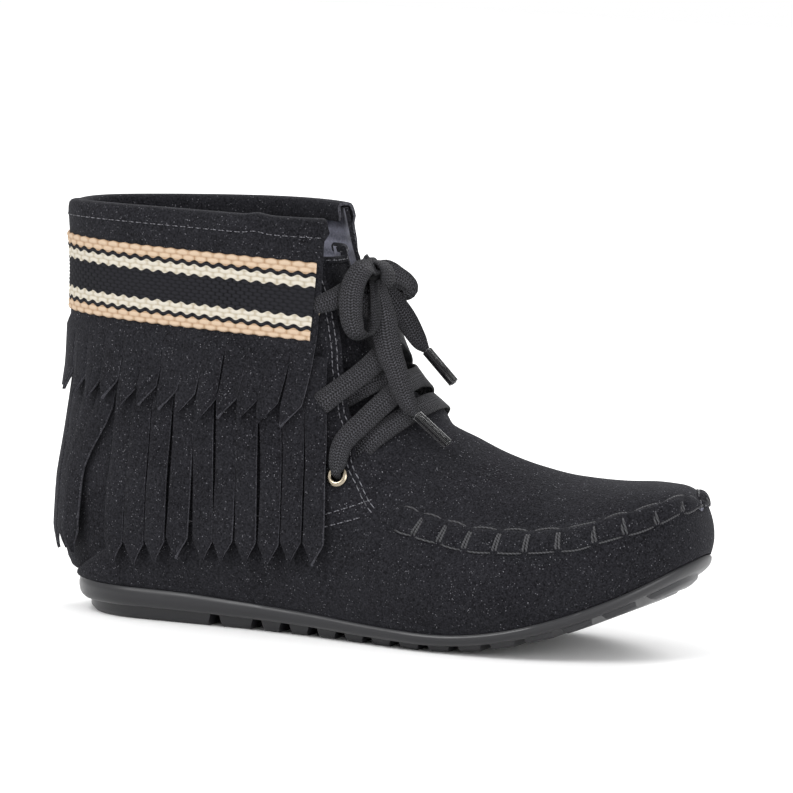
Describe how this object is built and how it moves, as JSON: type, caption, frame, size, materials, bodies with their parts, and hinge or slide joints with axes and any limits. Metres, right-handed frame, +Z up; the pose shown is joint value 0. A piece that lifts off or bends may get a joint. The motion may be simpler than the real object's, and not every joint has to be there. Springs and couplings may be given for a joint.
{
  "type": "ankle boot",
  "caption": "Right-foot moccasin ankle boot in near-black suede with tiers of cut fringe, striped webbing round the cuff, flat laces in a bow and a lugged rubber sole.",
  "frame": {"origin": "middle of the heel's flat face on the floor, 34 mm forward of the back of the sole", "axes": "+X towards the toe, -Y towards the outer side of the foot, +Z up from the floor"},
  "size_m": [0.2729, 0.0957, 0.165],
  "materials": {
    "suede": "near-black suede with a short nap",
    "rubber": "dark grey satin rubber, glossier at the toe",
    "lining": "grey-violet fabric lining",
    "webbing": "woven webbing, black with cream and off-white toothed stripes",
    "lace": "flat woven charcoal cotton",
    "aglet": "dark glossy plastic",
    "eyelet": "pale gold plate"
  },
  "bodies": {
    "root": {"upper": "suede", "outsole": "rubber", "insole": "lining", "tongue": "suede", "lower_fringe": "suede", "cuff": "suede", "webbing": "webbing", "lace_bars": "lace", "lace_knot": "lace", "lace_loop_near": "lace", "lace_loop_far": "lace", "lace_end_near": "lace", "lace_end_far": "lace", "aglet_near": "aglet", "aglet_far": "aglet", "eyelet_outer_1": "eyelet", "eyelet_outer_2": "eyelet", "eyelet_outer_3": "eyelet", "eyelet_inner_1": "eyelet", "eyelet_inner_2": "eyelet", "eyelet_inner_3": "eyelet"}
  },
  "joints": []
}
